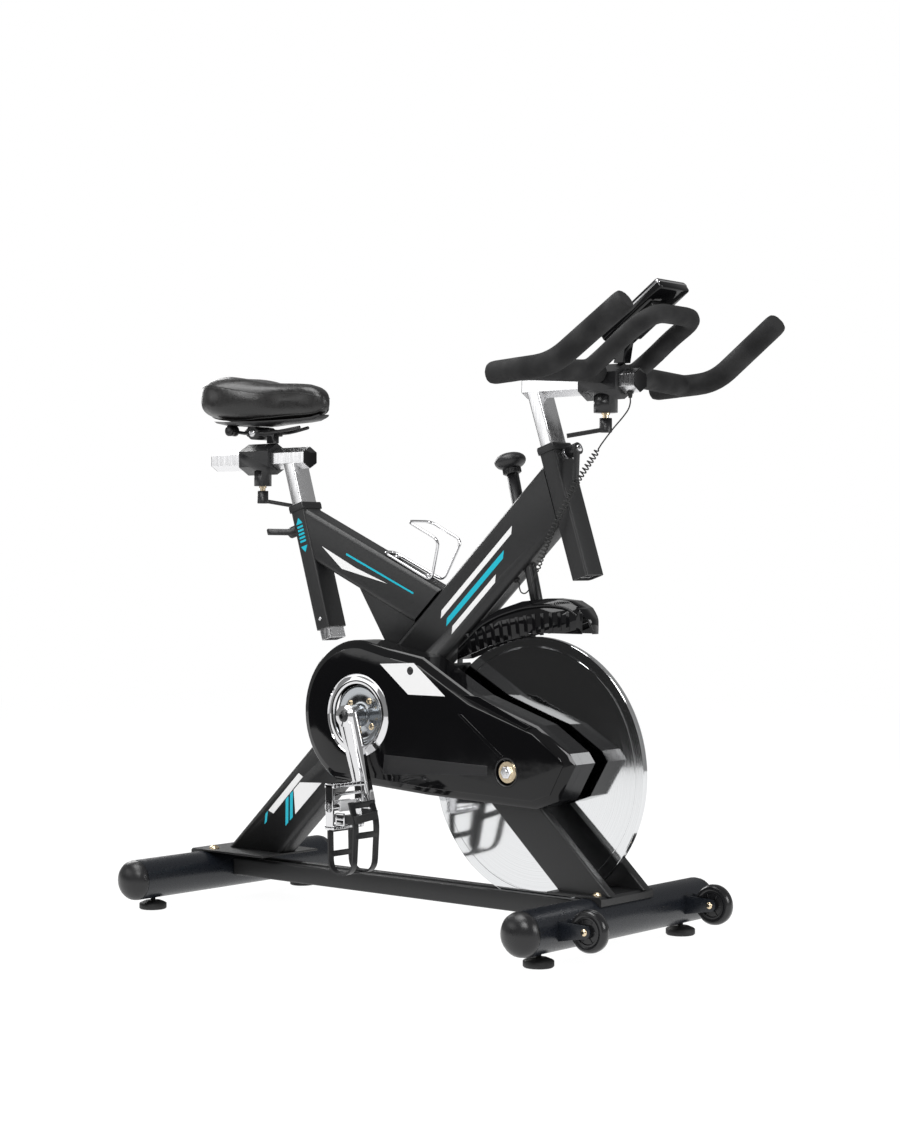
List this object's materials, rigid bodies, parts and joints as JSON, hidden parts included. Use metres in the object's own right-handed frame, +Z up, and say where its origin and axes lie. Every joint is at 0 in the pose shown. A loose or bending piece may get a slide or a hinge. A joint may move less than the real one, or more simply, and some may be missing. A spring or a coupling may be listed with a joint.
{
  "type": "indoor cycling bike",
  "caption": "Belt-driven indoor cycling bike with a chromed flywheel, a saddle and handlebar that slide on six-sided rails, a push-down brake and a small console.",
  "frame": {"origin": "on the floor, under the middle of the bike's length and width", "axes": "+X toward the handlebar, +Y toward the rider's left, +Z up"},
  "size_m": [1.2401, 0.5866, 1.1974],
  "materials": {
    "frame_paint": "satin charcoal powder coat",
    "tube_paint": "satin blue-black paint",
    "gloss_cover": "glossy black ABS",
    "matte_plastic": "moulded black nylon",
    "foam": "matt black grip foam",
    "leather": "black synthetic leather, soft sheen",
    "rubber": "matt black rubber",
    "chrome": "polished chrome plate",
    "steel": "zinc-plated steel",
    "post_metal": "bright polished aluminium",
    "flywheel_metal": "chromed cast iron, faces turned to a mirror"
  },
  "bodies": {
    "frame": {"main_beam": "frame_paint", "seat_beam": "frame_paint", "bottom_rail_right": "frame_paint", "bottom_rail_left": "frame_paint", "fork_leg_right": "frame_paint", "fork_leg_left": "frame_paint", "fork_crown": "frame_paint", "seat_sleeve": "frame_paint", "head_sleeve": "frame_paint", "front_mount_plate": "frame_paint", "rear_mount_plate": "frame_paint", "front_stabilizer": "tube_paint", "rear_stabilizer": "tube_paint", "front_cap_right": "matte_plastic", "front_cap_left": "matte_plastic", "rear_cap_right": "matte_plastic", "rear_cap_left": "matte_plastic", "bottle_cage": "chrome", "belt_cover_outer": "gloss_cover", "belt_cover_inner": "gloss_cover", "fender": "gloss_cover", "drive_belt": "rubber", "flywheel_axle": "steel", "console_cord_upper": "rubber", "console_cord_coil": "rubber", "console_cord_lower": "rubber", "cord_grommet": "rubber"},
    "seat_post": {"seat_post": "post_metal"},
    "saddle": {"seat_carriage": "matte_plastic", "saddle_clamp": "matte_plastic", "saddle_base": "matte_plastic", "saddle_cushion": "leather"},
    "seat_slide_lever": {"seat_slide_lever": "matte_plastic"},
    "seat_height_lever": {"seat_height_lever": "matte_plastic"},
    "handlebar_post": {"handlebar_post": "post_metal", "cord_relief": "rubber"},
    "handlebar": {"handlebar_carriage": "matte_plastic", "handlebar": "foam", "console": "gloss_cover"},
    "handlebar_slide_lever": {"handlebar_slide_lever": "matte_plastic"},
    "handlebar_height_lever": {"handlebar_height_lever": "matte_plastic"},
    "flywheel": {"flywheel": "flywheel_metal", "flywheel_pulley": "steel"},
    "crank": {"crank_spider": "chrome", "drive_pulley": "matte_plastic", "crank_arm_right": "chrome", "crank_arm_left": "chrome"},
    "pedal_right": {"pedal_right": "chrome", "toe_cage_right": "matte_plastic"},
    "pedal_left": {"pedal_left": "chrome", "toe_cage_left": "matte_plastic"},
    "brake_rod": {"brake_rod": "matte_plastic"},
    "brake_knob": {"brake_knob": "matte_plastic"},
    "brake_pad": {"brake_pad": "leather"},
    "transport_wheel_right": {"transport_wheel_right": "rubber"},
    "transport_wheel_left": {"transport_wheel_left": "rubber"},
    "front_foot_right": {"front_foot_right": "rubber"},
    "front_foot_left": {"front_foot_left": "rubber"},
    "rear_foot_right": {"rear_foot_right": "rubber"},
    "rear_foot_left": {"rear_foot_left": "rubber"}
  },
  "joints": [
    {"name": "seat_height", "type": "slide", "parent": "frame", "child": "seat_post", "axis": [-0.289, 0, 0.9573], "range_m": [0, 0.15]},
    {"name": "seat_fore_aft", "type": "slide", "parent": "seat_post", "child": "saddle", "axis": [1, 0, 0], "range_m": [-0.08, 0.03]},
    {"name": "seat_slide_lever_turn", "type": "hinge", "parent": "saddle", "child": "seat_slide_lever", "pos_m": [-0.483, 0, 0.857], "axis": [0, 0, 1], "range_deg": [-20, 90]},
    {"name": "seat_height_lever_turn", "type": "hinge", "parent": "frame", "child": "seat_height_lever", "pos_m": [-0.36774, 0, 0.76945], "axis": [0.9573, 0, 0.289], "range_deg": [-45, 45]},
    {"name": "handlebar_height", "type": "slide", "parent": "frame", "child": "handlebar_post", "axis": [-0.309, 0, 0.9511], "range_m": [0, 0.15], "deforming": ["console_cord_upper", "console_cord_coil", "console_cord_lower"]},
    {"name": "handlebar_fore_aft", "type": "slide", "parent": "handlebar_post", "child": "handlebar", "axis": [1, 0, 0], "range_m": [-0.07, 0.004]},
    {"name": "handlebar_slide_lever_turn", "type": "hinge", "parent": "handlebar", "child": "handlebar_slide_lever", "pos_m": [0.394, 0, 0.97], "axis": [0, 0, 1], "range_deg": [0, 60]},
    {"name": "handlebar_height_lever_turn", "type": "hinge", "parent": "frame", "child": "handlebar_height_lever", "pos_m": [0.30021, 0, 0.8973], "axis": [0.9511, 0, 0.309], "range_deg": [0, 80]},
    {"name": "flywheel_spin", "type": "hinge", "parent": "frame", "child": "flywheel", "pos_m": [0.237, 0, 0.316], "axis": [0, 1, 0], "continuous": true},
    {"name": "crank_spin", "type": "hinge", "parent": "frame", "child": "crank", "pos_m": [-0.131, 0, 0.404], "axis": [0, 1, 0], "continuous": true},
    {"name": "pedal_right_spin", "type": "hinge", "parent": "crank", "child": "pedal_right", "pos_m": [-0.0813, -0.17, 0.24143], "axis": [0, 1, 0], "continuous": true},
    {"name": "pedal_left_spin", "type": "hinge", "parent": "crank", "child": "pedal_left", "pos_m": [-0.1807, 0.17, 0.56657], "axis": [0, 1, 0], "continuous": true},
    {"name": "brake_press", "type": "slide", "parent": "frame", "child": "brake_rod", "axis": [0.2351, 0, -0.972], "range_m": [0, 0.0045], "stiffness_N_per_m": 1500, "springref_m": -0.01},
    {"name": "brake_knob_turn", "type": "hinge", "parent": "brake_rod", "child": "brake_knob", "pos_m": [0.252, 0, 0.561], "axis": [-0.2351, 0, 0.972], "range_deg": [0, 720]},
    {"name": "brake_pad_feed", "type": "slide", "parent": "brake_rod", "child": "brake_pad", "axis": [0.2351, 0, -0.972], "range_m": [0, 0.0041]},
    {"name": "transport_wheel_right_spin", "type": "hinge", "parent": "frame", "child": "transport_wheel_right", "pos_m": [0.501, -0.192, 0.068], "axis": [0, 1, 0], "continuous": true},
    {"name": "transport_wheel_left_spin", "type": "hinge", "parent": "frame", "child": "transport_wheel_left", "pos_m": [0.501, 0.192, 0.068], "axis": [0, 1, 0], "continuous": true},
    {"name": "front_foot_right_turn", "type": "hinge", "parent": "frame", "child": "front_foot_right", "pos_m": [0.409, -0.2165, 0], "axis": [0, 0, 1], "range_deg": [-180, 180]},
    {"name": "front_foot_left_turn", "type": "hinge", "parent": "frame", "child": "front_foot_left", "pos_m": [0.409, 0.2165, 0], "axis": [0, 0, 1], "range_deg": [-180, 180]},
    {"name": "rear_foot_right_turn", "type": "hinge", "parent": "frame", "child": "rear_foot_right", "pos_m": [-0.579, -0.2165, 0], "axis": [0, 0, 1], "range_deg": [-180, 180]},
    {"name": "rear_foot_left_turn", "type": "hinge", "parent": "frame", "child": "rear_foot_left", "pos_m": [-0.579, 0.2165, 0], "axis": [0, 0, 1], "range_deg": [-180, 180]}
  ],
  "couplings": [
    {"joint": "crank_spin", "follows": "flywheel_spin", "ratio": 0.2975},
    {"joint": "brake_pad_feed", "follows": "brake_knob_turn", "m_per_rad": 0.000318}
  ]
}
